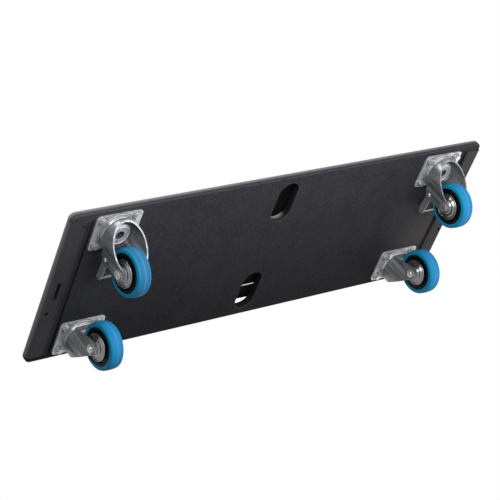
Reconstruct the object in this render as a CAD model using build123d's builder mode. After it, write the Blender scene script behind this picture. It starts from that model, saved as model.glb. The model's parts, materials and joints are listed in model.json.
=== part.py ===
from build123d import *
from math import cos, hypot, radians, sin
import os

# A transport board for a loudspeaker case: a plywood board on four swivel casters, two of them braked.
# Millimetres. The floor is z = 0, +X runs along the board and the origin lies under its middle.

# Board
panel_length = 1110
panel_width = 386
panel_thickness = 18
panel_corner = 14
panel_edge_round = 3
panel_top_round = 7
grip_length = 100
grip_width = 50
grip_offset = 124
grip_edge_round = 3

# Rubber mat on the load face, laid as a broad piece and a strip with an open joint over one hand slot
mat_end_margin = 34
mat_side_margin = 30
mat_joint_gap = 3
mat_thickness = 3
mat_corner = 12
mat_edge_round = 1

# Folded steel rails let into both ends of the board, with a turned-out lip along the flange
rail_sheet = 2
rail_corner_gap = 16
rail_notch = 3
rail_flange = 42
rail_leg = 8
rail_lip = 3.6
rail_lip_bend = 1
rail_standoff = 3.4
rail_bend = 6
rail_end_gap = 2
rail_slot_length = 48
rail_slot_width = 9
rail_slot_inset = 19
rail_pin_hole = 10
rail_pin_inset = 11.2
rail_pin_y = 57
rail_pocket_margin = 3
rail_pocket_depth = 10
rail_screw_radius = 2.2
rail_screw_head_radius = 4.2
rail_screw_head_depth = 1.8
rail_screw_key = 2.5
rail_screw_key_depth = 1.3
rail_screw_grip = 12
countersink_slope = 45
rail_screw_inset = 32
rail_screw_rows = (-165, -75, 75, 165)
rail_spacer_radius = 6

# Wheels
wheel_radius = 50
tyre_width = 30
tyre_depth = 9.5
tyre_crown = 1.5
tyre_shoulder = 4
rim_face_inset = 1
rim_ring_thickness = 7
web_half_width = 10
hub_radius = 19
bearing_radius = 14
bearing_width = 8
bearing_inset = 1
bearing_groove = 0.6
bearing_ring = 2
hub_bore_lip = 3

# Caster layout
caster_end_inset = 114
caster_edge_inset = 53
trail = 42
crown_gap = 30

# Top plates and their bolts
plate_length = 108
plate_width = 85
plate_corner = 8
plate_sheet = 3
plate_hole_x = 80
plate_hole_y = 60
plate_slot_extra = 3
plate_groove = 1.2
plate_groove_steps = (2.6, 6)
dish_margin = 10
dish_depth = 5
dish_slope = 20
bolt_radius = 4
bolt_flange_radius = 8.5
bolt_flange_height = 1.6
bolt_hex_flats = 13
bolt_head_height = 7.5
hex_chamfer_slope = 60
tee_flange_radius = 11
tee_flange_height = 1.5
tee_barrel_radius = 5
tee_barrel_length = 9

# Swivel bearing
race_gap = 2
ball_radius = 2.9
ball_margin = 7
ball_count = 10
kingpin_radius = 12
kingpin_wall = 2.5
kingpin_flare = 4
kingpin_head_height = 2.6
race_cup_radius = 25
race_cup_depth = 7
race_cup_floor = 4
race_cup_round = 4
race_step = 1.3

# Forks
fork_sheet = 3
head_round = 6
head_rear = 34
skirt_drop = 6
arm_gap = 8.5
arm_waist = 5
lug_flat = 12
lug_radius = 14

# Axles
axle_radius = 5
axle_hex_flats = 17
axle_head_height = 6.4
axle_nut_height = 8
axle_thread_end = 2
sleeve_wall = 1
guard_sheet = 1
guard_radius = 29
guard_hub_radius = 13
guard_dish = 6
guard_slope_run = 3.5
guard_bead = 1.3

# Brakes
pivot_setback = 6.5
pivot_drop = 28.3
pivot_ear_radius = 9
pedal_sheet = 2.4
pedal_nose_radius = 8
pedal_tail_radius = 7
pedal_reach = 48
pedal_rise = 4
pedal_lip_radius = 3
pedal_bridge_start = 14
pedal_travel = 14
shoe_start = 16
shoe_end = 30
shoe_side_gap = 3
rivet_radius = 3
rivet_head_radius = 5
rivet_head_height = 1.6

# Clearances
running_fit = 0.06
seat_fit = 0.05
ball_fit = 0.2
side_gap = 0.3
brake_gap = 0.5

# Heights and places that follow from the sizes above
axle_height = wheel_radius
panel_bottom = 2 * wheel_radius + crown_gap
panel_top = panel_bottom + panel_thickness
caster_x = panel_length / 2 - caster_end_inset
caster_y = panel_width / 2 - caster_edge_inset
mat_length = panel_length - 2 * mat_end_margin
mat_width = panel_width - 2 * mat_side_margin
plate_face = panel_bottom - plate_sheet
dish_bottom = plate_face - dish_depth
dish_floor = dish_bottom + plate_sheet
head_top = dish_bottom - race_gap
head_bottom = head_top - fork_sheet
race_top = head_bottom - side_gap
race_bottom = race_top - race_cup_depth
race_floor = race_bottom + race_cup_floor
arm_inner = tyre_width / 2 + arm_gap
arm_outer = arm_inner + fork_sheet
rim_half = tyre_width / 2 - rim_face_inset
head_radius = hypot(trail - lug_flat, arm_outer)
ball_circle = head_radius - head_round - ball_radius - ball_margin
dish_radius = ball_circle + dish_margin
arm_reach = trail + 2 * lug_radius
pivot_y = trail + pivot_setback
pivot_height = panel_bottom - pivot_drop
tyre_inner_radius = wheel_radius - tyre_depth
kingpin_bore = kingpin_radius - kingpin_wall
kingpin_head_radius = kingpin_radius + kingpin_flare
sleeve_radius = axle_radius + sleeve_wall
rail_face = panel_bottom - rail_standoff
rail_back = rail_face + rail_sheet
rail_end = panel_length / 2
rail_inner = rail_end - rail_flange
lip_bottom = rail_face - rail_lip
leg_top = panel_bottom + rail_leg
rail_slot_x = rail_end - rail_slot_inset
rail_pin_x = rail_end - rail_pin_inset
pocket_length = rail_slot_length + 2 * rail_pocket_margin
pocket_width = rail_slot_width + 2 * rail_pocket_margin
rail_length = panel_width - 2 * rail_corner_gap
sleeve_half = arm_inner - guard_sheet

swivel_axis = Axis.Z
axle_axis = Axis((0, trail, axle_height), (1, 0, 0))
axle_plane = Plane(origin=(0, trail, axle_height), x_dir=(1, 0, 0), z_dir=(0, -1, 0))

stations = {
    "left_braked": Location((-caster_x, -caster_y, 0)),
    "right_braked": Location((caster_x, -caster_y, 0)),
    "left_free": Location((-caster_x, caster_y, 0), (0, 0, 180)),
    "right_free": Location((caster_x, caster_y, 0), (0, 0, 180)),
}
braked_stations = [name for name in stations if name.endswith("braked")]
free_stations = [name for name in stations if name.endswith("free")]

caster_spots = GridLocations(2 * caster_x, 2 * caster_y, 2, 2)
bolt_spots = GridLocations(plate_hole_x, plate_hole_y, 2, 2)
bolt_places = [spot * hole for spot in caster_spots for hole in bolt_spots]
screw_x = rail_end - rail_screw_inset
screw_places = [Location((side * screw_x, y, 0)) for side in (-1, 1) for y in rail_screw_rows]

os.makedirs("parts", exist_ok=True)


def write(piece, name):
    """Label one finished piece and write it as its own file."""
    piece.label = name
    export_step(piece, f"parts/{name}.step")


def write_at(piece, kind, names):
    """Write a copy of a caster piece at each named caster."""
    for name in names:
        write(piece.moved(stations[name]), f"{kind}_{name}")


# Board panel, with two hand slots, recessed ends for the rails with pockets behind their holes, bolt holes
# counterbored for the tee nuts, and screw holes for the rails
with BuildPart() as board_panel:
    with BuildSketch(Plane.XY.offset(panel_bottom)):
        RectangleRounded(panel_length, panel_width, panel_corner)
        with GridLocations(0, 2 * grip_offset, 1, 2):
            SlotOverall(grip_length, grip_width, rotation=90, mode=Mode.SUBTRACT)
    extrude(amount=panel_thickness)
    fillet(board_panel.faces().sort_by(Axis.Z)[0].outer_wire().edges(), panel_edge_round)
    fillet(board_panel.faces().sort_by(Axis.Z)[-1].outer_wire().edges(), panel_top_round)
    grips = board_panel.faces().filter_by(Axis.Z)
    grip_edges = [edge for face in grips for wire in face.inner_wires() for edge in wire.edges()]
    fillet(grip_edges, grip_edge_round)
    with BuildSketch(Plane.XY.offset(panel_bottom)):
        with GridLocations(panel_length, 0, 2, 1):
            Rectangle(2 * (rail_sheet + rail_end_gap), rail_length + 2 * rail_notch)
    extrude(amount=rail_leg + side_gap, mode=Mode.SUBTRACT)
    with BuildSketch(Plane.XY.offset(panel_bottom)):
        with Locations(*[(side * rail_slot_x, 0) for side in (-1, 1)]):
            SlotOverall(pocket_length, pocket_width, rotation=90)
        with Locations(*[(side * rail_pin_x, rail_pin_y) for side in (-1, 1)]):
            Circle(rail_pin_hole / 2 + rail_pocket_margin)
    extrude(amount=rail_pocket_depth, mode=Mode.SUBTRACT)
    with BuildSketch(Plane.XY.offset(panel_bottom)):
        with Locations(*bolt_places):
            Circle(bolt_radius + side_gap)
    extrude(amount=panel_thickness, mode=Mode.SUBTRACT)
    with BuildSketch(Plane.XY.offset(panel_top)):
        with Locations(*bolt_places):
            Circle(tee_barrel_radius + seat_fit)
    extrude(amount=-tee_barrel_length, mode=Mode.SUBTRACT)
    with BuildSketch(Plane.XY.offset(panel_top)):
        with Locations(*bolt_places):
            Circle(tee_flange_radius + side_gap)
    extrude(amount=-tee_flange_height, mode=Mode.SUBTRACT)
    with BuildSketch(Plane.XY.offset(panel_bottom)):
        with Locations(*screw_places):
            Circle(rail_screw_radius + seat_fit)
    extrude(amount=rail_screw_grip, mode=Mode.SUBTRACT)
write(board_panel.part, "board_panel")

# Rubber mat glued to the load face in two pieces
with BuildPart() as mats:
    with BuildSketch(Plane.XY.offset(panel_top)):
        RectangleRounded(mat_length, mat_width, mat_corner)
        with Locations((0, grip_offset)):
            Rectangle(mat_length, mat_joint_gap, mode=Mode.SUBTRACT)
    extrude(amount=mat_thickness)
    fillet(mats.faces().group_by(Axis.Z)[-1].edges(), mat_edge_round)
load_mat, mat_strip = mats.solids().sort_by(Axis.Y)
write(load_mat, "load_mat")
write(mat_strip, "mat_strip")

# End rail: a lipped flange that stands off the underside, a wide bend, and a short leg let into the end
with BuildPart() as end_rail:
    with BuildSketch(Plane.XZ) as rail_section:
        with BuildLine():
            Polyline(
                (rail_inner, lip_bottom),
                (rail_inner + rail_sheet, lip_bottom),
                (rail_inner + rail_sheet, rail_face),
                (rail_end, rail_face),
                (rail_end, leg_top),
                (rail_end - rail_sheet, leg_top),
                (rail_end - rail_sheet, rail_back),
                (rail_inner, rail_back),
                close=True,
            )
        make_face()
        outer_corner = rail_section.vertices().sort_by_distance((rail_end, rail_face, 0))[0]
        fillet(outer_corner, rail_bend)
        inner_corner = rail_section.vertices().sort_by_distance((rail_end - rail_sheet, rail_back, 0))[0]
        fillet(inner_corner, rail_bend - rail_sheet)
        lip_root = rail_section.vertices().sort_by_distance((rail_inner + rail_sheet, rail_face, 0))[0]
        fillet(lip_root, rail_lip_bend)
        lip_back = rail_section.vertices().sort_by_distance((rail_inner, rail_back, 0))[0]
        fillet(lip_back, rail_lip_bend + rail_sheet)
    extrude(amount=rail_length / 2, both=True)
    with BuildSketch(Plane.XY.offset(rail_face)):
        with Locations((rail_slot_x, 0)):
            SlotOverall(rail_slot_length, rail_slot_width, rotation=90)
        with Locations((rail_pin_x, rail_pin_y)):
            Circle(rail_pin_hole / 2)
        with Locations(*[(screw_x, y) for y in rail_screw_rows]):
            Circle(rail_screw_radius + side_gap)
    extrude(amount=rail_standoff, mode=Mode.SUBTRACT)
    with BuildSketch(Plane.XY.offset(rail_face)):
        with Locations(*[(screw_x, y) for y in rail_screw_rows]):
            Circle(rail_screw_head_radius + side_gap)
    extrude(amount=rail_screw_head_depth, taper=countersink_slope, mode=Mode.SUBTRACT)
write(end_rail.part, "end_rail_right")
write(end_rail.part.mirror(Plane.YZ), "end_rail_left")

# Spacer tubes that hold the rail flanges off the board
with BuildPart() as rail_spacers:
    with BuildSketch(Plane.XY.offset(rail_back)):
        with Locations(*screw_places):
            Circle(rail_spacer_radius)
            Circle(rail_screw_radius + side_gap, mode=Mode.SUBTRACT)
    extrude(amount=panel_bottom - rail_back)
write(rail_spacers.part, "rail_spacers")

# Countersunk screws through the rails and spacers into the board
with BuildPart() as rail_screws:
    with BuildSketch(Plane.XY.offset(rail_face)):
        with Locations(*screw_places):
            Circle(rail_screw_head_radius)
    extrude(amount=rail_screw_head_depth, taper=countersink_slope)
    with BuildSketch(Plane.XY.offset(rail_face)):
        with Locations(*screw_places):
            Circle(rail_screw_radius)
    extrude(amount=panel_bottom + rail_screw_grip - seat_fit - rail_face)
    with BuildSketch(Plane.XY.offset(rail_face)):
        with Locations(*screw_places):
            RegularPolygon(rail_screw_key / 2, 6, major_radius=False)
    extrude(amount=rail_screw_key_depth, mode=Mode.SUBTRACT)
write(rail_screws.part, "rail_screws")

# Flanged hexagon bolts through the plates and the board
with BuildPart() as bolt_head:
    with BuildSketch(Plane.XY.offset(plate_face - bolt_head_height)):
        RegularPolygon(bolt_hex_flats / 2, 6, major_radius=False)
    extrude(amount=bolt_head_height)
    with BuildSketch(Plane.XY.offset(plate_face - bolt_head_height)):
        Circle(bolt_hex_flats / 2)
    extrude(amount=bolt_head_height, taper=-hex_chamfer_slope, mode=Mode.INTERSECT)
with BuildPart() as caster_bolt:
    add(bolt_head.part)
    with BuildSketch(Plane.XY.offset(plate_face)):
        Circle(bolt_flange_radius)
    extrude(amount=-bolt_flange_height)
    with BuildSketch(Plane.XY.offset(plate_face)):
        Circle(bolt_radius)
    extrude(amount=plate_sheet + panel_thickness - tee_flange_height)
with BuildPart() as caster_bolts:
    with Locations(*bolt_places):
        add(caster_bolt.part)
write(caster_bolts.part, "caster_bolts")

# Tee nuts sunk flush into the load face
with BuildPart() as tee_nuts:
    with BuildSketch(Plane.XY.offset(panel_top)):
        with Locations(*bolt_places):
            Circle(tee_flange_radius)
    extrude(amount=-tee_flange_height)
    with BuildSketch(Plane.XY.offset(panel_top)):
        with Locations(*bolt_places):
            Circle(tee_barrel_radius)
    extrude(amount=-tee_barrel_length)
    with BuildSketch(Plane.XY.offset(panel_top)):
        with Locations(*bolt_places):
            Circle(bolt_radius + seat_fit)
    extrude(amount=-tee_barrel_length, mode=Mode.SUBTRACT)
write(tee_nuts.part, "tee_nuts")

# Caster pieces below are modelled once, on a swivel axis at x = y = 0 with the wheel trailing towards +Y

# Top plate: pressed sheet with slotted corner holes, a dished ball race and pressed rings around it
with BuildPart() as top_plate:
    with BuildSketch(Plane.XY.offset(panel_bottom)):
        RectangleRounded(plate_length, plate_width, plate_corner)
    extrude(amount=-plate_sheet)
    with BuildSketch(Plane.XY.offset(plate_face)):
        Circle(dish_radius)
    extrude(amount=-dish_depth, taper=dish_slope)
    fillet(top_plate.faces().sort_by(Axis.Z)[0].edges(), plate_sheet / 2)
    with BuildSketch(Plane.XY.offset(panel_bottom)):
        Circle(dish_radius - plate_sheet)
    extrude(amount=-dish_depth, taper=dish_slope, mode=Mode.SUBTRACT)
    with Locations((0, 0, plate_face)):
        for step in plate_groove_steps:
            Torus(dish_radius + step, plate_groove, mode=Mode.SUBTRACT)
    with BuildSketch(Plane.XY.offset(panel_bottom)):
        Circle(kingpin_radius + seat_fit)
        with bolt_spots:
            SlotCenterToCenter(plate_slot_extra, 2 * (bolt_radius + side_gap))
    extrude(amount=-(plate_sheet + dish_depth), mode=Mode.SUBTRACT)
    with Locations((0, 0, dish_bottom - race_gap / 2)):
        Torus(ball_circle, ball_radius + ball_fit, mode=Mode.SUBTRACT)
write_at(top_plate.part, "top_plate", stations)

# Swivel balls between the plate and the fork head
with BuildPart() as swivel_balls:
    with Locations((0, 0, dish_bottom - race_gap / 2)):
        with PolarLocations(ball_circle, ball_count):
            Sphere(ball_radius)
write_at(swivel_balls.part, "swivel_balls", stations)

# Lower race cup, held up under the fork head by the kingpin, with a stepped underside
race_shoulder = race_cup_radius - race_cup_round
with BuildPart() as race_cup:
    with BuildSketch(Plane.XZ):
        with BuildLine():
            Polyline(
                (kingpin_radius + seat_fit, race_top),
                (race_cup_radius, race_top),
                (race_cup_radius, race_bottom + race_cup_round),
                (race_shoulder, race_bottom),
                (race_shoulder - race_step, race_bottom),
                (race_shoulder - 2 * race_step, race_bottom + race_step),
                (kingpin_head_radius + side_gap, race_bottom + race_step),
                (kingpin_head_radius + side_gap, race_floor),
                (kingpin_radius + seat_fit, race_floor),
                close=True,
            )
        make_face()
    revolve(axis=swivel_axis)
write_at(race_cup.part, "race_cup", stations)

# Kingpin: a hollow rivet, headed inside the dish and flared under the race cup
with BuildPart() as kingpin:
    with BuildSketch(Plane.XZ):
        with BuildLine():
            Polyline(
                (kingpin_bore, race_floor - kingpin_head_height),
                (kingpin_head_radius, race_floor - kingpin_head_height),
                (kingpin_head_radius, race_floor),
                (kingpin_radius, race_floor),
                (kingpin_radius, dish_floor),
                (kingpin_head_radius, dish_floor),
                (kingpin_head_radius, dish_floor + kingpin_head_height / 2),
                (kingpin_bore, dish_floor + kingpin_head_height / 2),
                close=True,
            )
        make_face()
    revolve(axis=swivel_axis)
    mouth = kingpin.edges().filter_by(GeomType.CIRCLE).group_by(Axis.Z)[0]
    fillet(mouth, kingpin_head_height / 2)
write_at(kingpin.part, "kingpin", stations)


def fork_block(radius, half_width, waist, top, top_round, reach):
    """A solid with the fork's plan: a round head drawn in to two parallel sides, rounded over the top."""
    with BuildPart() as block:
        with BuildSketch(Plane.XY.offset(top)) as plan:
            Circle(radius)
            with Locations((0, reach / 2)):
                Rectangle(2 * half_width, reach)
            pinch = (radius**2 - half_width**2) ** 0.5
            waist_corners = [
                plan.vertices().sort_by_distance((side * half_width, pinch, 0))[0] for side in (-1, 1)
            ]
            fillet(waist_corners, waist)
        extrude(amount=-top)
        crown = block.faces().sort_by(Axis.Z)[-1].edges().sort_by(Axis.Y)[:-1]
        fillet(crown, top_round)
    return block.part


fork_shell = fork_block(head_radius, arm_outer, arm_waist, head_top, head_round, arm_reach)
fork_hollow = fork_block(
    head_radius - fork_sheet,
    arm_inner,
    arm_waist + fork_sheet,
    head_bottom,
    head_round - fork_sheet,
    2 * arm_reach,
)


def make_fork(braked):
    """Drawn steel fork: the shell cut off in a slope from the front of the head down to the axle lugs."""
    with BuildPart() as fork:
        add(fork_shell)
        add(fork_hollow, mode=Mode.SUBTRACT)
        with BuildSketch(Plane.YZ):
            with Locations((trail, axle_height)):
                Circle(lug_radius)
            if braked:
                with Locations((pivot_y, pivot_height)):
                    Circle(pivot_ear_radius)
            head_front = -head_radius - fork_sheet
            head_middle = (head_front + head_rear) / 2
            with Locations((head_middle, head_top - skirt_drop / 2)):
                Rectangle(head_rear - head_front, skirt_drop)
            make_hull()
        extrude(amount=2 * head_radius, both=True, mode=Mode.INTERSECT)
        with BuildSketch(Plane.XY.offset(head_top)):
            Circle(kingpin_radius + running_fit)
        extrude(amount=-fork_sheet, mode=Mode.SUBTRACT)
        with Locations((0, 0, dish_bottom - race_gap / 2)):
            Torus(ball_circle, ball_radius + ball_fit, mode=Mode.SUBTRACT)
        with BuildSketch(Plane.YZ):
            with Locations((trail, axle_height)):
                Circle(axle_radius + seat_fit)
            if braked:
                with Locations((pivot_y, pivot_height)):
                    Circle(rivet_radius + seat_fit)
        extrude(amount=2 * head_radius, both=True, mode=Mode.SUBTRACT)
    return fork.part


write_at(make_fork(braked=True), "fork", braked_stations)
write_at(make_fork(braked=False), "fork", free_stations)

# Axle: a hexagon bolt with its nut, across both arms
with BuildPart() as axle_bolt:
    with BuildSketch(Plane.YZ.offset(-arm_outer)):
        with Locations((trail, axle_height)):
            RegularPolygon(axle_hex_flats / 2, 6, major_radius=False, rotation=30)
    extrude(amount=-axle_head_height)
    with BuildSketch(Plane.YZ.offset(-arm_outer)):
        with Locations((trail, axle_height)):
            Circle(axle_radius)
    extrude(amount=2 * arm_outer + axle_nut_height + axle_thread_end)
    with BuildSketch(Plane.YZ.offset(arm_outer)):
        with Locations((trail, axle_height)):
            RegularPolygon(axle_hex_flats / 2, 6, major_radius=False, rotation=30)
            Circle(axle_radius + seat_fit, mode=Mode.SUBTRACT)
    extrude(amount=axle_nut_height)
write_at(axle_bolt.part, "axle_bolt", stations)

# Sleeve on the axle that the wheel turns on
with BuildPart() as axle_sleeve:
    with BuildSketch(Plane.YZ):
        with Locations((trail, axle_height)):
            Circle(sleeve_radius)
            Circle(axle_radius + seat_fit, mode=Mode.SUBTRACT)
    extrude(amount=sleeve_half, both=True)
write_at(axle_sleeve.part, "axle_sleeve", stations)

# Thread guards: discs dished in two steps to a rolled rim, clamped between the sleeve and the arms
guard_lip = sleeve_half - guard_dish
guard_ledge = sleeve_half - guard_dish / 2
guard_rim = guard_radius - guard_bead
with BuildPart() as thread_guards:
    with BuildSketch(axle_plane):
        with BuildLine():
            Polyline(
                (sleeve_half, axle_radius + seat_fit),
                (arm_inner, axle_radius + seat_fit),
                (arm_inner, guard_hub_radius),
                (guard_ledge + guard_sheet, guard_hub_radius + guard_slope_run),
                (guard_ledge + guard_sheet, guard_rim - 2 * guard_slope_run),
                (guard_lip + guard_sheet, guard_rim - guard_slope_run),
                (guard_lip + guard_sheet, guard_rim),
                (guard_lip, guard_rim),
                (guard_lip, guard_rim - guard_slope_run),
                (guard_ledge, guard_rim - 2 * guard_slope_run),
                (guard_ledge, guard_hub_radius + guard_slope_run),
                (sleeve_half, guard_hub_radius),
                close=True,
            )
        make_face()
        with Locations((guard_lip + guard_bead, guard_rim)):
            Circle(guard_bead)
    revolve(axis=axle_axis)
    mirror(about=Plane.YZ)
write_at(thread_guards.part, "thread_guards", stations)

# Ball bearings in the hub, each drawn as one closed ring with its shield recess
bearing_outer_face = rim_half - bearing_inset
bearing_inner_face = bearing_outer_face - bearing_width
with BuildPart() as wheel_bearings:
    with BuildSketch(axle_plane):
        with BuildLine():
            Polyline(
                (bearing_inner_face, sleeve_radius + running_fit),
                (bearing_outer_face, sleeve_radius + running_fit),
                (bearing_outer_face, sleeve_radius + bearing_ring),
                (bearing_outer_face - bearing_groove, sleeve_radius + bearing_ring),
                (bearing_outer_face - bearing_groove, bearing_radius - bearing_ring),
                (bearing_outer_face, bearing_radius - bearing_ring),
                (bearing_outer_face, bearing_radius),
                (bearing_inner_face, bearing_radius),
                close=True,
            )
        make_face()
    revolve(axis=axle_axis)
    mirror(about=Plane.YZ)
write_at(wheel_bearings.part, "wheel_bearings", stations)

# Moulded wheel rim: hub, web and the ring that carries the tyre
rim_radius = tyre_inner_radius - seat_fit
with BuildPart() as wheel_rim:
    with BuildSketch(axle_plane):
        with BuildLine():
            Polyline(
                (0, bearing_radius - hub_bore_lip),
                (bearing_inner_face, bearing_radius - hub_bore_lip),
                (bearing_inner_face, bearing_radius + seat_fit),
                (rim_half, bearing_radius + seat_fit),
                (rim_half, hub_radius),
                (web_half_width, hub_radius),
                (web_half_width, rim_radius - rim_ring_thickness),
                (rim_half, rim_radius - rim_ring_thickness),
                (rim_half, rim_radius),
                (0, rim_radius),
                close=True,
            )
        make_face()
    revolve(axis=axle_axis)
    mirror(about=Plane.YZ)
write_at(wheel_rim.part, "wheel_rim", stations)

# Solid rubber tyre with a crowned tread and rounded shoulders
tyre_half = tyre_width / 2
tread_edge = wheel_radius - tyre_crown
with BuildPart() as tyre:
    with BuildSketch(axle_plane) as tyre_section:
        with BuildLine():
            Polyline(
                (tyre_half, tread_edge),
                (tyre_half, tyre_inner_radius),
                (-tyre_half, tyre_inner_radius),
                (-tyre_half, tread_edge),
            )
            ThreePointArc((-tyre_half, tread_edge), (0, wheel_radius), (tyre_half, tread_edge))
        make_face()
        fillet(tyre_section.vertices().group_by(Axis.Y)[-1], tyre_shoulder)
    revolve(axis=axle_axis)
write_at(tyre.part, "tyre", stations)

# Brake pedal: two cheeks inside the arms, joined behind the wheel by a tread plate with a rolled end
cheek_outer = arm_inner - side_gap
cheek_inner = cheek_outer - pedal_sheet
tail_y = pivot_y + pedal_reach
tail_height = pivot_height + pedal_rise
pedal_cut_height = 4 * pedal_nose_radius
with BuildPart() as brake_pedal:
    with BuildSketch(Plane.YZ):
        with Locations((pivot_y, pivot_height)):
            Circle(pedal_nose_radius)
        with Locations((tail_y, tail_height)):
            Circle(pedal_tail_radius)
        make_hull()
    extrude(amount=cheek_outer, both=True)
    with BuildSketch(Plane.YZ):
        with Locations((pivot_y, pivot_height - pedal_sheet)):
            Circle(pedal_nose_radius)
        with Locations((tail_y, tail_height - pedal_sheet)):
            Circle(pedal_tail_radius)
        make_hull()
    extrude(amount=cheek_inner, both=True, mode=Mode.SUBTRACT)
    with BuildSketch(Plane.YZ):
        with Locations((pivot_y, pivot_height)):
            Rectangle(2 * pedal_bridge_start, pedal_cut_height)
    extrude(amount=cheek_inner, both=True, mode=Mode.SUBTRACT)
    with BuildSketch(Plane.YZ):
        with Locations((tail_y + pedal_tail_radius - pedal_lip_radius, tail_height)):
            Circle(pedal_lip_radius)
    extrude(amount=cheek_outer, both=True)
    with BuildSketch(Plane.YZ):
        with Locations((pivot_y, pivot_height)):
            Circle(rivet_radius + running_fit)
    extrude(amount=2 * cheek_outer, both=True, mode=Mode.SUBTRACT)
write_at(brake_pedal.part, "brake_pedal", braked_stations)

# Brake shoe under the tread plate, hollowed to the tyre as it stands with the pedal pressed
pressed = radians(pedal_travel)
axle_dy = trail - pivot_y
axle_dz = axle_height - pivot_height
pressed_axle_y = pivot_y + axle_dy * cos(pressed) - axle_dz * sin(pressed)
pressed_axle_z = pivot_height + axle_dy * sin(pressed) + axle_dz * cos(pressed)
with BuildPart() as brake_shoe:
    with BuildSketch(Plane.YZ):
        with Locations((pivot_y, pivot_height - pedal_sheet)):
            Circle(pedal_nose_radius)
        with Locations((tail_y, tail_height - pedal_sheet)):
            Circle(pedal_tail_radius)
        make_hull()
        with Locations((pivot_y + (shoe_start + shoe_end) / 2, pivot_height)):
            Rectangle(shoe_end - shoe_start, pedal_cut_height, mode=Mode.INTERSECT)
        with Locations((pressed_axle_y, pressed_axle_z)):
            Circle(wheel_radius + brake_gap, mode=Mode.SUBTRACT)
    extrude(amount=cheek_inner - shoe_side_gap, both=True)
write_at(brake_shoe.part, "brake_shoe", braked_stations)

# Rivets that the pedal turns on, one in each arm
pivot_axis = Axis((0, pivot_y, pivot_height), (1, 0, 0))
pivot_plane = Plane(origin=(0, pivot_y, pivot_height), x_dir=(1, 0, 0), z_dir=(0, -1, 0))
with BuildPart() as brake_rivets:
    with BuildSketch(pivot_plane):
        with BuildLine():
            Polyline(
                (cheek_inner - rivet_head_height, 0),
                (arm_outer + rivet_head_height, 0),
                (arm_outer + rivet_head_height, rivet_radius),
                (arm_outer, rivet_head_radius),
                (arm_outer, rivet_radius),
                (cheek_inner, rivet_radius),
                (cheek_inner, rivet_head_radius),
                (cheek_inner - rivet_head_height, rivet_radius),
                close=True,
            )
        make_face()
    revolve(axis=pivot_axis)
    mirror(about=Plane.YZ)
write_at(brake_rivets.part, "brake_rivets", braked_stations)
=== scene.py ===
# %% [markdown]
# # A transport board on four casters
# The board is a painted plywood panel with a rubber mat for a loudspeaker case on one face and
# four swivel casters on the other. Every steel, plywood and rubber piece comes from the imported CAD
# model as a fixed frame. This lesson gives those pieces their finishes, lays the ribbed mat, and
# sets up the camera and the studio.

# %% Load the frame
import bpy
import json
import math
from mathutils import Matrix, Vector


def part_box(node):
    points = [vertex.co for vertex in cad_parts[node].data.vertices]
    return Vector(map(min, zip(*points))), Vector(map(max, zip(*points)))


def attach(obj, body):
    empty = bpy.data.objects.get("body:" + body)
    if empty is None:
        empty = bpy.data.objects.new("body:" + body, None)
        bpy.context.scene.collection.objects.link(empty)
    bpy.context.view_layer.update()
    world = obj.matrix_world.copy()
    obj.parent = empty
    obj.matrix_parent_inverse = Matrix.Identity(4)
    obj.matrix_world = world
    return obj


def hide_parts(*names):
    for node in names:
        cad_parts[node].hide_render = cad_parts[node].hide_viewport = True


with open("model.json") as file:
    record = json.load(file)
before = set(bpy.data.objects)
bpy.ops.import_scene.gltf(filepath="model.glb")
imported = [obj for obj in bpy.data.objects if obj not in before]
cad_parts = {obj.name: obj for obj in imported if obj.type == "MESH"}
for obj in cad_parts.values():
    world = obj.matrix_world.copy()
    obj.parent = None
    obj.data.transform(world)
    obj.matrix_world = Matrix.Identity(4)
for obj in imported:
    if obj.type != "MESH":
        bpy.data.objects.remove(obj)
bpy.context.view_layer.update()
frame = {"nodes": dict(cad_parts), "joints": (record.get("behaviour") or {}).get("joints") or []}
bpy.ops.object.select_all(action="DESELECT")

# %% [markdown]
# ## The camera
# The photograph looks up at the underside of the board from beyond its left end, through a long
# lens. A long lens far away keeps the two ends nearly the same size. The camera could be aimed
# with a Track To constraint, but its roll matters here, so its own right and up directions are
# written down and the third one follows from them.

# %% Camera
camera_place = Vector((-2.46733, -2.28955, -1.94655))
picture_right = Vector((0.77051, -0.30991, -0.55702))
picture_up = Vector((0.16061, -0.75127, 0.64015))
focal_length_px = 1859
picture_width_px = 500
sensor_width_mm = 36

towards_viewer = picture_right.cross(picture_up).normalized()
camera_turn = Matrix((picture_right, picture_up, towards_viewer)).transposed().to_4x4()
bpy.ops.object.camera_add()
camera = bpy.context.object
camera.name = "photo_camera"
camera.matrix_world = Matrix.Translation(camera_place) @ camera_turn
camera.data.sensor_width = sensor_width_mm
camera.data.lens = focal_length_px / picture_width_px * sensor_width_mm
bpy.context.scene.camera = camera
print("lens", round(camera.data.lens, 1), "mm")

# %% [markdown]
# ## Small helpers for shader nodes
# A material is a graph of nodes. It could be drawn by hand in the shader editor, but a script can
# build the same graph again at any time. These helpers add a node and feed its inputs, do sums,
# and start a node group, which is a piece of graph that several materials share, each with its own
# values. Patterns are read in Object coordinates: metres in the piece's own space, so a pattern
# keeps its real size and moves with its piece.

# %% Adding nodes
def feed(tree, socket, value):
    """Give an input a plain value, or a link if the value is another node's output."""
    if isinstance(value, bpy.types.NodeSocket):
        tree.links.new(value, socket)
    else:
        socket.default_value = value


def add_node(tree, kind, settings=None, **values):
    """Add a node, set its properties, and feed its inputs by name."""
    node = tree.nodes.new(kind)
    for name, value in (settings or {}).items():
        setattr(node, name, value)
    for name, value in values.items():
        feed(tree, node.inputs[name.replace("_", " ")], value)
    return node


# %% Sums with nodes
def math_node(tree, operation, first, second=0.0):
    """One Math node: first and second are numbers or outputs."""
    node = add_node(tree, "ShaderNodeMath", {"operation": operation})
    feed(tree, node.inputs[0], first)
    feed(tree, node.inputs[1], second)
    return node.outputs[0]


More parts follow.
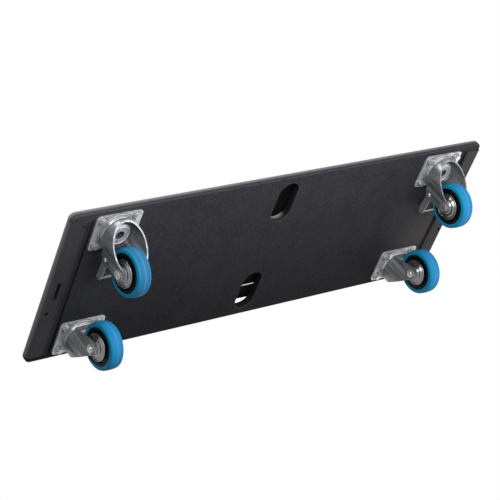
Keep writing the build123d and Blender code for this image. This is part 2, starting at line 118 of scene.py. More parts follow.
def map_range(tree, value, low, high, new_low=0.0, new_high=1.0):
    """Stretch a value from one range to another, held at both ends."""
    node = add_node(tree, "ShaderNodeMapRange", Value=value)
    limits = {"From Min": low, "From Max": high, "To Min": new_low, "To Max": new_high}
    for name, number in limits.items():
        node.inputs[name].default_value = number
    return node.outputs["Result"]


# %% Places and noise
def object_space(tree):
    return add_node(tree, "ShaderNodeTexCoord").outputs["Object"]


def noise(tree, space, scale, detail, **more):
    """Cloudy noise around one half; in metres, scale is clouds per metre."""
    clouds = add_node(
        tree, "ShaderNodeTexNoise", Vector=space, Scale=scale, Detail=detail, **more)
    return clouds.outputs["Fac"]


# %% Node groups
def start_group(name, inputs, outputs):
    """An empty shader node group with named number sockets."""
    group = bpy.data.node_groups.new(name, "ShaderNodeTree")
    for label, value in inputs.items():
        socket = group.interface.new_socket(label, in_out="INPUT", socket_type="NodeSocketFloat")
        socket.default_value = value
    for label in outputs:
        group.interface.new_socket(label, in_out="OUTPUT", socket_type="NodeSocketFloat")
    print("group", name, "gives", ", ".join(outputs))
    given = group.nodes.new("NodeGroupInput").outputs
    wanted = group.nodes.new("NodeGroupOutput").inputs
    return group, given, wanted


# %% [markdown]
# ## Fine grain
# Paint, powder coat, rubber and moulded plastic all have a fine grain, slow changes of tone and
# small specks. An image could hold these, but noise has no seams and no end. Three noises of
# different size make the three masks, and the size of the finest is left to each material.

# %% Grain group
grain_group, grain_in, grain_out = start_group(
    "fine_grain", {"Grain Size": 0.001}, ("Height", "Patches", "Specks"))
grain_space = object_space(grain_group)
grains_per_metre = math_node(grain_group, "DIVIDE", 1.0, grain_in["Grain Size"])
patches_per_metre, specks_per_metre = 22.0, 170.0
grain_layers = {
    "Height": noise(grain_group, grain_space, grains_per_metre, 3.0),
    "Patches": noise(grain_group, grain_space, patches_per_metre, 5.0, Roughness=0.75),
    "Specks": noise(grain_group, grain_space, specks_per_metre, 2.0),
}
for label, layer in grain_layers.items():
    grain_group.links.new(map_range(grain_group, layer, 0.3, 0.7), grain_out[label])

# %% [markdown]
# ## Worn edges
# Sharp edges lose their coat first. They could be painted by hand, but the Bevel node finds them:
# it gives a normal rounded over a small radius, which differs from the true normal only near an
# edge. Noise breaks the result up, because a coat wears off unevenly.

# %% Products and normals
def times(tree, first, *others):
    """Multiply several numbers or outputs."""
    for other in others:
        first = math_node(tree, "MULTIPLY", first, other)
    return first


def surface_normal(tree):
    return add_node(tree, "ShaderNodeNewGeometry").outputs["Normal"]


# %% Edge wear group
wear_group, wear_in, wear_out = start_group(
    "edge_wear", {"Width": 0.001, "Amount": 0.5}, ("Worn",))
rounded = add_node(wear_group, "ShaderNodeBevel", {"samples": 4}, Radius=wear_in["Width"])
alike = add_node(wear_group, "ShaderNodeVectorMath", {"operation": "DOT_PRODUCT"})
feed(wear_group, alike.inputs[0], rounded.outputs["Normal"])
feed(wear_group, alike.inputs[1], surface_normal(wear_group))
edge = map_range(wear_group, alike.outputs["Value"], 0.985, 0.90)
chips_per_metre = 160.0
chips = noise(wear_group, object_space(wear_group), chips_per_metre, 4.0)
broken = map_range(wear_group, chips, 0.35, 0.65)
wear_group.links.new(times(wear_group, edge, broken, wear_in["Amount"]), wear_out["Worn"])

# %% [markdown]
# ## Scratches, and streaks that are drawing marks and painted reflection
# Handling leaves hair-fine scratches on plated steel, and the press that draws a fork leaves
# upright streaks on it. On the forks the streaks are strong, and there they are painted streaky
# reflection as well as drawing marks. Drawing each line would take long. Noise that a Mapping node
# squeezes hard in two directions and little in the third turns from clouds into lines by itself, so
# both effects are made that way. Two sets of scratches cross each other.

# %% Scratch group
scratch_group, scratch_in, scratch_out = start_group(
    "fine_scratches", {"Amount": 0.5}, ("Scratches",))
scratch_space = object_space(scratch_group)
turns_and_squeezes = [((0.3, 0.2, 0.5), (30, 900, 700)), ((1.1, 0.7, 2.1), (900, 24, 800))]
scratch_sets = []
for turn, squeeze in turns_and_squeezes:
    laid = add_node(scratch_group, "ShaderNodeMapping", Vector=scratch_space, Rotation=turn,
                    Scale=squeeze)
    lines = noise(scratch_group, laid.outputs["Vector"], 1.0, 1.0)
    scratch_sets.append(map_range(scratch_group, lines, 0.66, 0.74))
crossed = math_node(scratch_group, "MAXIMUM", *scratch_sets)
scratches = times(scratch_group, crossed, scratch_in["Amount"])
scratch_group.links.new(scratches, scratch_out["Scratches"])

# %% Streak group
streak_group, streak_in, streak_out = start_group(
    "drawn_streaks", {"Amount": 0.5}, ("Streaks",))
upright_squeeze = (150, 150, 14)
drawn_out = add_node(streak_group, "ShaderNodeMapping", Vector=object_space(streak_group),
                     Scale=upright_squeeze)
streak_noise = noise(streak_group, drawn_out.outputs["Vector"], 1.0, 4.0)
streaks = map_range(streak_group, streak_noise, 0.38, 0.62)
streak_group.links.new(times(streak_group, streaks, streak_in["Amount"]), streak_out["Streaks"])

# %% [markdown]
# ## Painted light and shade on flat pieces
# Some faces of a flat piece are painted paler, as painted highlight and painted light: its sides
# towards the top, with the ends of the board and the walls at the inner ends of the hand slots,
# its lower rim a little, the inner faces of the rails, and the cut edges along the joint of the
# mat. Its top is paler too, which on the mat is partly scuffing. The walls of the hand slots are
# painted darker instead, as painted shade, as in the photograph. Such places could be painted
# onto an unwrapped mesh. Here each mask comes from where a point is and from the way the surface
# faces, so that no unwrapping and no image is needed.

# %% Places and distances
def separate(tree, vector):
    """The X, Y and Z of a vector."""
    return add_node(tree, "ShaderNodeSeparateXYZ", Vector=vector).outputs


def minus(tree, first, second):
    return math_node(tree, "SUBTRACT", first, second)


def absolute(tree, value):
    return math_node(tree, "ABSOLUTE", value)


def off_by(tree, value, target):
    """How far a value is from a target, either way."""
    return absolute(tree, minus(tree, value, target))


# %% Painted light and shade: where a point is and how it faces
board_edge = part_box("board_panel")[1].y
rim_values = {"Low": 0.134, "High": 0.147, "Amount": 1.0}
rim_group, rim_in, rim_out = start_group(
    "rubbed_rims", rim_values, ("Rim", "Top", "Slot", "Inner", "Joint"))
spot = separate(rim_group, object_space(rim_group))
facing = separate(rim_group, surface_normal(rim_group))
along, across = absolute(rim_group, spot["X"]), absolute(rim_group, spot["Y"])
long_side = map_range(rim_group, absolute(rim_group, facing["Y"]), 0.55, 0.9)
print("the board's long edges are at", round(board_edge, 3), "m")

# %% Painted highlight: upper sides
# Painted highlight: the upper parts of the long sides, the ends, and the walls at the slots' inner
# ends.
above = minus(rim_group, spot["Z"], rim_in["Low"])
span = minus(rim_group, rim_in["High"], rim_in["Low"])
rise = map_range(rim_group, math_node(rim_group, "DIVIDE", above, span), 0, 1)
steep_rise = math_node(rim_group, "POWER", rise, 1.3)
slot_middle = 0.124
past_slot_middle = map_range(rim_group, across, slot_middle + 0.004, slot_middle + 0.014)
short_of_edge = map_range(rim_group, across, board_edge - 0.007, board_edge - 0.013)
outer_slot_end = times(rim_group, past_slot_middle, short_of_edge)
lit_sides = times(rim_group, long_side, minus(rim_group, 1.0, outer_slot_end))
board_end = map_range(rim_group, along, 0.4, 0.5)
chosen_side = math_node(rim_group, "MAXIMUM", lit_sides, board_end)
not_flat_top = map_range(rim_group, facing["Z"], 0.97, 0.85)
upper_rim = times(rim_group, steep_rise, chosen_side, not_flat_top)
print("the hand slots' middles are at", slot_middle, "m")

# %% Painted highlight: lower rim; faces turned up
# Painted highlight: a faint pale line on the lower rounded rim.
lower_rim_share = 0.045
turned_down = map_range(rim_group, facing["Z"], -0.25, -0.6, 0.0, lower_rim_share)
not_flat_base = map_range(rim_group, facing["Z"], -0.98, -0.88)
lower_rim = times(rim_group, turned_down, not_flat_base)
rim = math_node(rim_group, "ADD", upper_rim, lower_rim)
rim_group.links.new(times(rim_group, rim, rim_in["Amount"]), rim_out["Rim"])
# Faces turned up; the mat is paler there than on its near-black underside.
rim_group.links.new(map_range(rim_group, facing["Z"], 0.3, 0.9), rim_out["Top"])
print("the lower rim gets", lower_rim_share, "of the rubbing")

# %% Painted shade on slot walls, painted light on inner faces and the mat's joint
# Painted shade: the walls of the hand slots.
near_slots = map_range(rim_group, along, 0.05, 0.045)
inside_board = map_range(rim_group, across, board_edge - 0.004, board_edge - 0.007)
wall = map_range(rim_group, absolute(rim_group, facing["Z"]), 0.8, 0.4)
rim_group.links.new(times(rim_group, near_slots, inside_board, wall), rim_out["Slot"])
# Painted light: faces of the rails that turn inwards.
outward = times(rim_group, facing["X"], math_node(rim_group, "SIGN", spot["X"]))
rim_group.links.new(map_range(rim_group, outward, -0.5, -0.9), rim_out["Inner"])
# Painted light: the faces along the mat's joint.
mat_joint = (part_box("load_mat")[1].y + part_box("mat_strip")[0].y) / 2
off_joint = off_by(rim_group, spot["Y"], mat_joint)
lit_joint_side = times(rim_group, long_side, map_range(rim_group, off_joint, 0.0026, 0.0020))
rim_group.links.new(lit_joint_side, rim_out["Joint"])
print("the mat's joint is at", round(mat_joint, 4), "m")

# %% [markdown]
# ## Painted shade in the corners
# Shade is painted round the bolt heads, in the rings pressed into the plates and in the bore of
# the kingpin, where little light reaches. Blender can find corners by looking for surfaces close
# by, but then it also sees the neighbouring pieces, which an exported piece no longer has. The four
# casters stand as mirror images about the middle of the board. So distances from one swivel axis,
# taken without their signs, place the rings on all four.

# %% Painted shade: distances and rings
swivel = next(j for j in frame["joints"] if j["name"].startswith("swivel_"))["pos_m"]
corner_shade_group, corner_shade_in, corner_shade_out = start_group("settled_grime", {"Amount": 0.0}, ("Grime",))


def distance(lengths):
    """How far a spot is, from the lengths to it along and across the board."""
    squares = [times(corner_shade_group, length, length) for length in lengths]
    return math_node(corner_shade_group, "SQRT", math_node(corner_shade_group, "ADD", *squares))


def ring(from_spot, radius, half_width=0.0018):
    """A soft ring round a spot."""
    off = off_by(corner_shade_group, from_spot, radius)
    return map_range(corner_shade_group, off, half_width, half_width * 0.4)


print("swivel axes at", [round(abs(place), 3) for place in swivel[:2]], "m")

# %% Painted shade: round the bolts, in the grooves and in the bore
bolt_places = (0.040, 0.030)
bolt_ring, groove_rings = 0.0093, (0.0367, 0.0415)
bore_rim, bore_inside = 0.0101, 0.0096
grime_spot = separate(corner_shade_group, object_space(corner_shade_group))
from_swivel = [off_by(corner_shade_group, absolute(corner_shade_group, grime_spot[axis]), abs(place))
               for axis, place in zip("XY", swivel)]
from_bolt = distance([minus(corner_shade_group, length, place)
                      for length, place in zip(from_swivel, bolt_places)])
from_axis = distance(from_swivel)
bore = map_range(corner_shade_group, from_axis, bore_rim, bore_inside)
grime = math_node(corner_shade_group, "MAXIMUM", ring(from_bolt, bolt_ring), bore)
for radius in groove_rings:
    grime = math_node(corner_shade_group, "MAXIMUM", grime, ring(from_axis, radius))
corner_shade_group.links.new(times(corner_shade_group, grime, corner_shade_in["Amount"]), corner_shade_out["Grime"])
print("grime rings of", (bolt_ring, *groove_rings), "m")

# %% [markdown]
# ## From masks to a material
# Each finish starts from the Principled shader, which can be paint, rubber or metal. One value on
# each of its inputs would do for new plastic, but not for things in use. So a material places the
# groups, blends one colour into the next by their masks, and lets the height of the grain tilt the
# surface. What is the same all over, such as how metallic a finish is, is set on the shader itself.
# The frame brings plain materials with some of the same names, so Blender adds .001 to those here.

# %% Material helpers
def start_material(name, **shader_values):
    """A material whose Principled shader has these values set on its own sockets."""
    material = bpy.data.materials.new(name)
    material.use_nodes = True
    shader = material.node_tree.nodes["Principled BSDF"]
    for label, value in shader_values.items():
        shader.inputs[label.replace("_", " ")].default_value = value
    return material, material.node_tree, shader


def place_group(tree, group, **values):
    """Put a node group into a material and return its outputs."""
    return add_node(tree, "ShaderNodeGroup", {"node_tree": group}, **values).outputs


def bump(tree, shader, height, depth, strength):
    """Let a height in 0 to 1 tilt the surface, where 1 stands for depth metres."""
    node = add_node(tree, "ShaderNodeBump", Height=height, Distance=depth, Strength=strength)
    tree.links.new(node.outputs["Normal"], shader.inputs["Normal"])


# %% Blending colours
def mix_colours(tree, factor, first, second):
    """Blend from one colour to another; each is three numbers or an output."""
    node = add_node(tree, "ShaderNodeMix", {"data_type": "RGBA"})
    tree.links.new(factor, node.inputs["Factor"])
    colour_inputs = [socket for socket in node.inputs if socket.type == "RGBA"]
    for socket, colour in zip(colour_inputs, (first, second)):
        linked = isinstance(colour, bpy.types.NodeSocket)
        feed(tree, socket, colour if linked else (*colour, 1))
    return next(socket for socket in node.outputs if socket.type == "RGBA")


# %% [markdown]
# ## Black textured paint
# The panel is rolled with a tough black structure paint that dries to a pebbled skin. The pebbles
# could be modelled, but a bump about a millimetre and a half across is enough. Flat black alone
# would look like a hole, so the tone drifts, and the tops of the pebbles and small specks are
# greyer and smoother. The underside also carries painted light and shade: painted shade towards
# one long edge, painted light near its right end and a little near its left end, and a line of
# painted shadow beside each rail. On the left that line lies a little off the rail, where it
# shows past the rail's lip. The masks above paint shade on the slot walls and highlight on the
# upper sides.

# %% Painted light and shade on the board
def paint_board_shading(tree, paint):
    """Lay painted shade towards one long edge and painted light near both ends over a paint colour.
    """
    shade_black = (0.005, 0.006, 0.007)
    warm_light, cool_light = (0.125, 0.112, 0.108), (0.115, 0.117, 0.13)
    patch_middle = 0.025
    place = separate(tree, object_space(tree))
    # Painted shade: darker towards the far long edge, at +Y.
    drift = map_range(tree, place["Y"], -0.15, 0.19, 0.0, 0.5)
    long_edge_shaded = mix_colours(tree, drift, paint, shade_black)
    # Painted light: paler and warmer at the right end, around the middle of its width.
    right_end = map_range(tree, place["X"], 0.33, 0.5, 0.0, 0.33)
    patch = map_range(tree, off_by(tree, place["Y"], patch_middle), 0.12, 0.05)
    right_end_lit = mix_colours(tree, times(tree, right_end, patch), long_edge_shaded, warm_light)
    # Painted light: a little paler and cooler at the left end, on the near half.
    left_end = map_range(tree, place["X"], -0.34, -0.44, 0.0, 0.1)
    left_end_light = times(tree, left_end, map_range(tree, place["Y"], 0.09, 0.0))
    return mix_colours(tree, left_end_light, right_end_lit, cool_light)


# %% Painted shadow beside the rails
def paint_rail_shadow(tree, paint):
    """Lay a line of painted shadow beside each end rail over a paint colour."""
    shadow_black = (0.004, 0.004, 0.0045)
    rail_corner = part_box("end_rail_left")[1]
    rail_inner, rail_tip = -rail_corner.x, rail_corner.y
    place = separate(tree, object_space(tree))
    beside_rail = map_range(tree, absolute(tree, place["Y"]), rail_tip, rail_tip - 0.003)
    # Painted shadow: a dark line on the board beside each rail.
    for line_x, darkness in ((0.011 - rail_inner, 0.8), (rail_inner - 0.002, 0.45)):
        off_line = off_by(tree, place["X"], line_x)
        line = map_range(tree, off_line, 0.0045, 0.002, 0.0, darkness)
        paint = mix_colours(tree, times(tree, beside_rail, line), paint, shadow_black)
    print("rails: inner edge", round(rail_inner, 4), "m, tips", round(rail_tip, 4), "m")
    return paint


# %% Board paint
def make_board_paint():
    base_dark, base_light = (0.0150, 0.0150, 0.0180), (0.0280, 0.0280, 0.0325)
    pebble_grey, slot_shade_black = (0.054, 0.054, 0.0585), (0.004, 0.004, 0.004)
    highlight_grey, worn_grey = (0.32, 0.32, 0.325), (0.1, 0.098, 0.096)
    material, tree, shader = start_material("board_paint", Specular_IOR_Level=0.005)
    grain = place_group(tree, grain_group, Grain_Size=0.0016)
    worn = place_group(tree, wear_group, Width=0.0012, Amount=0.25)["Worn"]
    shading = place_group(tree, rim_group)
    tone = mix_colours(tree, grain["Patches"], base_dark, base_light)
    pebbles, specks = times(tree, grain["Height"], 0.2), times(tree, grain["Specks"], 0.36)
    topped = mix_colours(tree, math_node(tree, "ADD", pebbles, specks), tone, pebble_grey)
    shaded_and_lit = paint_rail_shadow(tree, paint_board_shading(tree, topped))
    # Painted shade darkens the walls of the hand slots.
    slotted = mix_colours(tree, times(tree, shading["Slot"], 0.7), shaded_and_lit, slot_shade_black)
    # Painted highlight pales the upper sides, the ends and the lower rim.
    rubbed = mix_colours(tree, shading["Rim"], slotted, highlight_grey)
    tree.links.new(mix_colours(tree, worn, rubbed, worn_grey), shader.inputs["Base Color"])
    roughness = map_range(tree, grain["Height"], 0, 1, 0.68, 0.5)
    tree.links.new(roughness, shader.inputs["Roughness"])
    bump(tree, shader, grain["Height"], depth=0.0003, strength=0.6)
    return material


board_paint = make_board_paint()
print("made", board_paint.name)

# %% [markdown]
# ## Powder coat, rubber and nylon
# The folded end rails carry a finer and slightly bluish powder coat. The mat and the brake shoes
# are matt black rubber, and the wheel rims are moulded nylon with a satin skin. Each could have a
# graph of its own, but they are one recipe with different values: two dark tones, grain, worn
# edges, and the faces that each one shows paler as painted light. So one function makes them all.

# %% Black finishes
def make_black_finish(name, dark, light, grain_size, grain_depth, roughness, wear, specular=0.4,
                      rubbed=None, top=0.0, inner=0.0, cut=0.0, blue=(1.0, 1.1)):
    """A dark coat or moulding; top, inner and cut say how pale those faces are, and the pale inner
    and cut faces and upper sides are painted light.
    """
    wear_and_light_grey, joint_light_grey = (0.1, 0.1, 0.1), (0.5, 0.5, 0.48)
    dark_tone, light_tone = (dark, dark, dark * blue[0]), (light, light, light * blue[1])
    material, tree, shader = start_material(name, Specular_IOR_Level=specular)
    grain = place_group(tree, grain_group, Grain_Size=grain_size)
    worn = place_group(tree, wear_group, Width=0.0008, Amount=wear)["Worn"]
    shading = place_group(tree, rim_group, **(rubbed or {"Amount": 0.0}))
    colour = mix_colours(tree, grain["Patches"], dark_tone, light_tone)
    colour = mix_colours(tree, times(tree, shading["Top"], top), colour, wear_and_light_grey)
    colour = mix_colours(tree, times(tree, shading["Inner"], inner), colour, wear_and_light_grey)
    colour = mix_colours(tree, times(tree, shading["Joint"], cut), colour, joint_light_grey)
    colour = mix_colours(tree, shading["Rim"], colour, wear_and_light_grey)
    tree.links.new(mix_colours(tree, worn, colour, wear_and_light_grey), shader.inputs["Base Color"])
    smooth, rough = roughness
    satin = map_range(tree, grain["Height"], 0, 1, rough, smooth)
    tree.links.new(satin, shader.inputs["Roughness"])
    bump(tree, shader, grain["Height"], grain_depth, strength=0.5)
    return material


# %% Mat, rails, screws, rims and shoes
# The mat is near black, as painted shade on its underside in the hand slots; its tops are a little
# paler, partly scuffing, and the faces along its joint much paler, as painted light.
mat_rubber = make_black_finish(
    "mat_rubber", dark=0.003, light=0.005, grain_size=0.0012, grain_depth=0.0001,
    roughness=(0.6, 0.75), wear=0.1, specular=0.01, top=0.2, cut=0.7)
# The rails' upper sides are painted paler as painted highlight, their inner faces as painted light.
rail_low, rail_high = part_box("end_rail_left")
rail_band = {"Low": rail_low.z, "High": rail_high.z, "Amount": 0.9}
rail_paint = make_black_finish(
    "rail_paint", dark=0.020, light=0.030, grain_size=0.0008, grain_depth=0.00012,
    roughness=(0.42, 0.55), wear=0.12, specular=0.03, rubbed=rail_band, inner=0.7, blue=(1.2, 1.25))
black_screw = make_black_finish(
    "black_screw", dark=0.014, light=0.022, grain_size=0.0005, grain_depth=0.00003,
    roughness=(0.4, 0.52), wear=0.3, specular=0.1)
rim_plastic = make_black_finish(
    "rim_plastic", dark=0.004, light=0.007, grain_size=0.0006, grain_depth=0.00005,
    roughness=(0.34, 0.46), wear=0.1, specular=0.04)
shoe_rubber = make_black_finish(
    "shoe_rubber", dark=0.014, light=0.022, grain_size=0.0008, grain_depth=0.0001,
    roughness=(0.6, 0.75), wear=0.1)
for finish in (mat_rubber, rail_paint, black_screw, rim_plastic, shoe_rubber):
    print("made", finish.name)

# %% [markdown]
# ## Zinc-plated steel
# The plates, forks, pedals and fasteners are pressed steel with a thin zinc layer: satin with a
# faint blue cast, cloudy where the plating bath left it uneven, and lightly scratched. Sheared
# edges are brighter and rougher than the faces. A plain metal shader would look like chrome, so
# noise clouds the tone and the roughness, and masks lay streaks, scratches, painted shade in the
# corners and edges over them. A dulled zinc skin is partly oxide, so most of these finishes are
# only partly metallic. The same plating is given darker tones on the forks, pedals and guards, as
# painted shade and painted dark reflection, and a paler tone on the axle bolts, as painted
# highlight.

# %% Zinc
def make_zinc(name, colour, roughness, cloud, streak=0.3, metallic=1.0, grime=0.0,
              edge_gain=1.25):
    """Plated steel; cloud and streak say how much of each it shows, and one more amount how much
    painted shade lies in its corners.
    """
    shares = {"dull": 1 - cloud, "streak": 0.4, "grime": 0.15}
    darker = {label: [channel * share for channel in colour] for label, share in shares.items()}
    bright = [min(1, channel * edge_gain) for channel in colour]
    material, tree, shader = start_material(name, Metallic=metallic)
    grain = place_group(tree, grain_group, Grain_Size=0.0007)
    edge = place_group(tree, wear_group, Width=0.0009, Amount=0.9)["Worn"]
    scratches = place_group(tree, scratch_group, Amount=0.5)["Scratches"]
    streaks = place_group(tree, streak_group, Amount=streak)["Streaks"]
    # Painted shade round the bolts, in the grooves and in the bore.
    corner_shade = place_group(tree, corner_shade_group, Amount=grime)["Grime"]
    clouded = mix_colours(tree, grain["Patches"], darker["dull"], colour)
    streaked = mix_colours(tree, streaks, clouded, darker["streak"])
    scratched = mix_colours(tree, times(tree, scratches, 0.4), streaked, darker["dull"])
    corner_shaded = mix_colours(tree, corner_shade, scratched, darker["grime"])
    tree.links.new(mix_colours(tree, edge, corner_shaded, bright), shader.inputs["Base Color"])
    smooth, rough = roughness
    drift = map_range(tree, grain["Patches"], 0, 1, rough, smooth)
    rougher_edge = math_node(tree, "ADD", drift, times(tree, edge, 0.15))
    tree.links.new(rougher_edge, shader.inputs["Roughness"])
    bump(tree, shader, minus(tree, grain["Height"], scratches), depth=0.00006, strength=0.5)
    return material


# %% Sheet steel, fasteners and bearings
# One zinc plating in different tones: the forks, pedals and guards darker as painted shade and
# painted dark reflection, the axle bolts paler as painted highlight, and the guards' bright edges
# partly wear, partly painted highlight.
zinc_sheet = make_zinc("zinc_sheet", (0.47, 0.48, 0.51), roughness=(0.34, 0.48), cloud=0.2,
                       metallic=0.4, grime=0.65)
# On the forks the streaks are painted streaky reflection as well as drawing marks.
fork_zinc = make_zinc("fork_zinc", (0.27, 0.275, 0.29), roughness=(0.27, 0.42), cloud=0.3,
                      streak=1.0, metallic=0.5)
pedal_zinc = make_zinc("pedal_zinc", (0.22, 0.225, 0.235), roughness=(0.34, 0.46), cloud=0.2,
                       metallic=0.4)
zinc_matt = make_zinc("zinc_matt", (0.39, 0.395, 0.435), roughness=(0.42, 0.55), cloud=0.2,
                      metallic=0.2, grime=0.9)
zinc_hardware = make_zinc("zinc_hardware", (0.44, 0.45, 0.46), roughness=(0.28, 0.4), cloud=0.12,
                          metallic=0.7)
guard_steel = make_zinc("guard_steel", (0.23, 0.235, 0.235), roughness=(0.16, 0.28), cloud=0.2,
                        metallic=0.9, edge_gain=2.5)
axle_zinc = make_zinc("axle_zinc", (0.55, 0.55, 0.54), roughness=(0.16, 0.26), cloud=0.1,
                      metallic=0.8)
bearing_steel = make_zinc("bearing_steel", (0.62, 0.62, 0.62), roughness=(0.12, 0.2), cloud=0.06)
for finish in (zinc_sheet, fork_zinc, pedal_zinc, zinc_matt, zinc_hardware, guard_steel,
               axle_zinc, bearing_steel):
    print("made", finish.name)

# %% [markdown]
# ## Blue tyres
# The tyres are cast in blue elastic rubber. The two halves of the mould leave a fine parting line
# round the middle of the tread. It could be cut into the mesh, but a paler tone and a small bump
# are enough for a line this fine. All four wheels stand at the same distance from the middle of
# the board, so the distance of a point from that plane draws the line on each of them. The same
# distance tells the tread, scuffed on the ground, from the side walls. One wheel's tread is made
# darker and browner than the others'.

# %% Tyre rubber
wheel_plane = abs(next(j for j in frame["joints"] if j["name"].startswith("spin_"))["pos_m"][0])


def make_tyre_rubber(name, grime=0.0):
    tread_dark, tread_light = (0.009, 0.168, 0.35), (0.013, 0.19, 0.405)
    wall_blue, seam_blue = (0.007, 0.18, 0.32), (0.11, 0.225, 0.43)
    darker_brown = (0.03, 0.045, 0.02)
    material, tree, shader = start_material(name, Specular_IOR_Level=0.06)
    grain = place_group(tree, grain_group, Grain_Size=0.0009)
    from_middle = absolute(tree, separate(tree, object_space(tree))["X"])
    from_seam = off_by(tree, from_middle, wheel_plane)
    seam = map_range(tree, from_seam, 0.003, 0.0006, 0.0, 0.4)
    tread = map_range(tree, from_seam, 0.0140, 0.0105)
    scuffed = mix_colours(tree, grain["Patches"], tread_dark, tread_light)
    # One tread is made darker and browner.
    darkened_tread = mix_colours(tree, times(tree, tread, grime), scuffed, darker_brown)
    tone = mix_colours(tree, tread, wall_blue, darkened_tread)
    tree.links.new(mix_colours(tree, seam, tone, seam_blue), shader.inputs["Base Color"])
    satin = map_range(tree, grain["Height"], 0, 1, 0.62, 0.52)
    tree.links.new(satin, shader.inputs["Roughness"])
    raised = math_node(tree, "ADD", times(tree, grain["Height"], 0.15), seam)
    bump(tree, shader, raised, depth=0.0003, strength=0.7)
    return material


darker_tyre = make_tyre_rubber("tyre_rubber_grimy", grime=0.38)
tyre_rubber = make_tyre_rubber("tyre_rubber")
print("wheels run at", round(wheel_plane, 3), "m from the middle")

# %% [markdown]
# ## Giving each piece its finish
# A piece's name starts with what it is, so one table from the first words of the name to a finish
# covers all four casters. The first line that fits counts, so the darker tyre stands before the
# others. A finish could also be set piece by piece, but a table shows at a glance what is alike.

# %% Table of finishes
finishes = {
    "board_panel": board_paint,
    "load_mat": mat_rubber,
    "mat_strip": mat_rubber,
    "end_rail": rail_paint,
    "rail_spacers": zinc_hardware,
    "rail_screws": black_screw,
    "caster_bolts": zinc_hardware,
    "tee_nuts": zinc_hardware,
    "top_plate": zinc_sheet,
    "swivel_balls": bearing_steel,
    "race_cup": zinc_matt,
    "kingpin": zinc_matt,
    "fork": fork_zinc,
    "axle_bolt": axle_zinc,
    "axle_sleeve": bearing_steel,
    "thread_guards": guard_steel,
    "wheel_bearings": bearing_steel,
    "wheel_rim": rim_plastic,
    "tyre_left_braked": darker_tyre,
    "tyre": tyre_rubber,
    "brake_pedal": pedal_zinc,
    "brake_shoe": shoe_rubber,
    "brake_rivets": zinc_hardware,
}
print(len(finishes), "kinds of piece")

# %% Assign the finishes
for name, piece in frame["nodes"].items():
    kind = next(start for start in finishes if name.startswith(start))
    piece.data.materials.clear()
    piece.data.materials.append(finishes[kind])
print("finished", len(frame["nodes"]), "pieces with", len(set(finishes.values())), "materials")

# %% [markdown]
# ## The ribbed mat
# The load rests on a ribbed rubber mat in two pieces, so each is built here instead of keeping the
# plain sheet from the CAD model. A bump map could fake the ribs, but they would vanish at the
# mat's edge. A grid gives one long strip for each rib and each groove. Extruding every second
# strip raises the ribs, and extruding the outline down and filling it closes the underside. A
# Boolean with a slab that has rounded corners cuts both pieces to the mat's outline, and a small
# bevel softens the ribs.

# %% Choosing edges and faces
def pick(obj, kind, numbers):
    """Go into edit mode with just these edges or faces selected."""
    bpy.context.tool_settings.mesh_select_mode = (False, kind == "edges", kind == "polygons")
    bpy.ops.object.mode_set(mode="EDIT")
    bpy.ops.mesh.select_all(action="DESELECT")
    bpy.ops.object.mode_set(mode="OBJECT")
    parts = getattr(obj.data, kind)
    for number in numbers:
        parts[number].select = True
    bpy.ops.object.mode_set(mode="EDIT")


# %% Cutting slab for the mat's outline
def make_slab(low, high, corner):
    """A box between two corners with its four upright edges rounded."""
    bpy.ops.mesh.primitive_cube_add(size=1, location=(low + high) / 2)
    slab = bpy.context.object
    slab.scale = high - low
    bpy.ops.object.transform_apply(location=True, rotation=False, scale=True)
    points = slab.data.vertices
    ends = [[points[number].co for number in edge.vertices] for edge in slab.data.edges]
    pick(slab, "edges", [number for number, (a, b) in enumerate(ends) if a.xy == b.xy])
    bpy.ops.mesh.bevel(offset=corner, segments=8)
    bpy.ops.object.mode_set(mode="OBJECT")
    return slab


mat_low, mat_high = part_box("load_mat")[0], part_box("mat_strip")[1]
slab_margin = Vector((0, 0, 0.01))
slab = make_slab(mat_low - slab_margin, mat_high + slab_margin, corner=0.012)
print("slab", [round(length, 3) for length in slab.dimensions], "m")

# %% Ribs and underside
def raise_ribs(name, low, high, pitch, rib_height):
    """A closed sheet between two corners, with ribs along its length."""
    size = high - low
    strips = 2 * round(size.y / pitch) + 1
    bpy.ops.mesh.primitive_grid_add(x_subdivisions=1, y_subdivisions=strips, size=1)
    mat = bpy.context.object
    mat.name = name
    mat.location = ((low.x + high.x) / 2, (low.y + high.y) / 2, high.z - rib_height)
    mat.scale = (size.x, size.y, 1)
    bpy.ops.object.transform_apply(location=True, rotation=False, scale=True)
    pick(mat, "polygons", range(1, strips, 2))
    up, down = (0, 0, rib_height), (0, 0, rib_height - size.z)
    bpy.ops.mesh.extrude_region_move(TRANSFORM_OT_translate={"value": up})
    bpy.ops.mesh.select_mode(type="EDGE")
    bpy.ops.mesh.select_all(action="DESELECT")
    bpy.ops.mesh.select_non_manifold()
    bpy.ops.mesh.extrude_region_move(TRANSFORM_OT_translate={"value": down})
    bpy.ops.mesh.edge_face_add()
    bpy.ops.mesh.select_all(action="SELECT")
    bpy.ops.mesh.normals_make_consistent(inside=False)
    bpy.ops.object.mode_set(mode="OBJECT")
    print(name, strips // 2, "ribs")
    return mat


# %% Mat pieces
def make_mat(name, node):
    """A ribbed rubber sheet in the place of a CAD mat, cut to the slab's outline."""
    low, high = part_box(node)
    mat = raise_ribs(name, low, high, pitch=0.008, rib_height=0.0012)
    cut = mat.modifiers.new("outline", "BOOLEAN")
    cut.operation, cut.object, cut.solver = "INTERSECT", slab, "EXACT"
    soften = mat.modifiers.new("soft_edges", "BEVEL")
    soften.width, soften.segments, soften.limit_method = 0.0003, 2, "ANGLE"
    for step in ("outline", "soft_edges"):
        bpy.ops.object.modifier_apply(modifier=step)
    bpy.ops.object.shade_smooth_by_angle()
    mat.data.materials.append(mat_rubber)
    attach(mat, "board")
    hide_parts(node)
    print(name, len(mat.data.polygons), "faces")


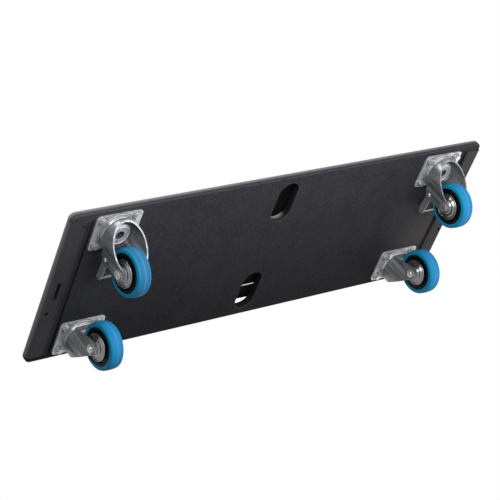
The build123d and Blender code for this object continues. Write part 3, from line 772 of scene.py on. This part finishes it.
make_mat("ribbed_mat", "load_mat")
make_mat("ribbed_mat_strip", "mat_strip")
bpy.data.objects.remove(slab)

# %% [markdown]
# ## The studio
# The background is plain white. A real backdrop would stand between the low camera and the board,
# so the white comes from the world instead: it shows white to the camera and in reflections, and
# gives a softer grey fill to everything else. The floor is a pale plane that only the camera sees,
# and only from above: the photograph's camera stands below it and looks up through it, and light
# passes it both ways.

# %% World
def light_up_world(fill):
    world = bpy.context.scene.world or bpy.data.worlds.new("studio")
    bpy.context.scene.world = world
    world.use_nodes = True
    tree = world.node_tree
    tree.nodes.clear()
    path = add_node(tree, "ShaderNodeLightPath").outputs
    seen = math_node(tree, "MAXIMUM", path["Is Camera Ray"], path["Is Glossy Ray"])
    seen = math_node(tree, "MAXIMUM", seen, path["Is Transmission Ray"])
    strength = map_range(tree, seen, 0, 1, fill, 1)
    background = add_node(tree, "ShaderNodeBackground", Color=(1, 1, 1, 1), Strength=strength)
    output = tree.nodes.new("ShaderNodeOutputWorld")
    tree.links.new(background.outputs["Background"], output.inputs["Surface"])
    print("world fill", fill)


light_up_world(fill=0.12)

# %% Floor
def lay_floor(half_size):
    bpy.ops.mesh.primitive_plane_add(size=2 * half_size, location=(0, 0, 0))
    floor = bpy.context.object
    floor.name = "studio_floor"
    material, tree, shader = start_material(
        "studio_floor", Base_Color=(0.86, 0.86, 0.86, 1), Roughness=0.9, Specular_IOR_Level=0.1)
    behind = add_node(tree, "ShaderNodeNewGeometry").outputs["Backfacing"]
    camera_ray = add_node(tree, "ShaderNodeLightPath").outputs["Is Camera Ray"]
    unseen = math_node(tree, "MAXIMUM", behind, minus(tree, 1.0, camera_ray))
    clear = tree.nodes.new("ShaderNodeBsdfTransparent")
    cover = add_node(tree, "ShaderNodeMixShader", Fac=unseen)
    tree.links.new(shader.outputs["BSDF"], cover.inputs[1])
    tree.links.new(clear.outputs["BSDF"], cover.inputs[2])
    tree.links.new(cover.outputs["Shader"], tree.nodes["Material Output"].inputs["Surface"])
    floor.data.materials.append(material)
    print("floor", 2 * half_size, "m wide")


lay_floor(half_size=9)

# %% [markdown]
# ## The lamps
# A black underside needs large soft boxes below it. The long key box lights the board from the
# near side, the left one reaches the wheels that face the camera, and weak boxes at the right and
# the rear open up the far end. A small box high on the near side lights the near edge. A wide,
# soft sun from above lights the load face and the floor in the other views. One strong lamp would
# be simpler, but it would leave half of each caster black.

# %% Soft boxes
def hang_lamp(name, place, aim, size, power):
    """A soft box that shines from one point towards another."""
    bpy.ops.object.light_add(type="AREA", location=place)
    lamp = bpy.context.object
    lamp.name = name
    lamp.data.shape = "RECTANGLE"
    lamp.data.size, lamp.data.size_y = size
    lamp.data.energy = power
    lamp.rotation_euler = (Vector(aim) - Vector(place)).to_track_quat("-Z", "Y").to_euler()
    print(name, power, "W")


board_middle = (0, 0, 0.1)
hang_lamp("upper_softbox", (-0.73, -1.74, 1.2), board_middle, size=(0.5, 0.5), power=13)
hang_lamp("right_softbox", (1.25, 0.1, -0.55), (0.5, 0, 0.1), size=(0.5, 0.5), power=4)
hang_lamp("key_softbox", (0.2, -0.88, -0.66), (0.2, 0, 0.1), size=(1.8, 0.6), power=21)
hang_lamp("left_softbox", (-1.5, -1.5, -0.4), (-0.3, 0, 0.1), size=(1.0, 1.0), power=26)
hang_lamp("rear_softbox", (2.2, 1.6, -1.6), board_middle, size=(1.4, 1.4), power=6)

# %% Sun and colours of the picture
sun_tilt = (math.radians(-20), math.radians(-12), 0)
bpy.ops.object.light_add(type="SUN", rotation=sun_tilt)
overhead = bpy.context.object
overhead.name = "overhead_light"
overhead.data.energy, overhead.data.angle = 2.6, math.radians(50)
bpy.context.scene.view_settings.view_transform = "Standard"
print("overhead_light", round(overhead.data.energy, 2))
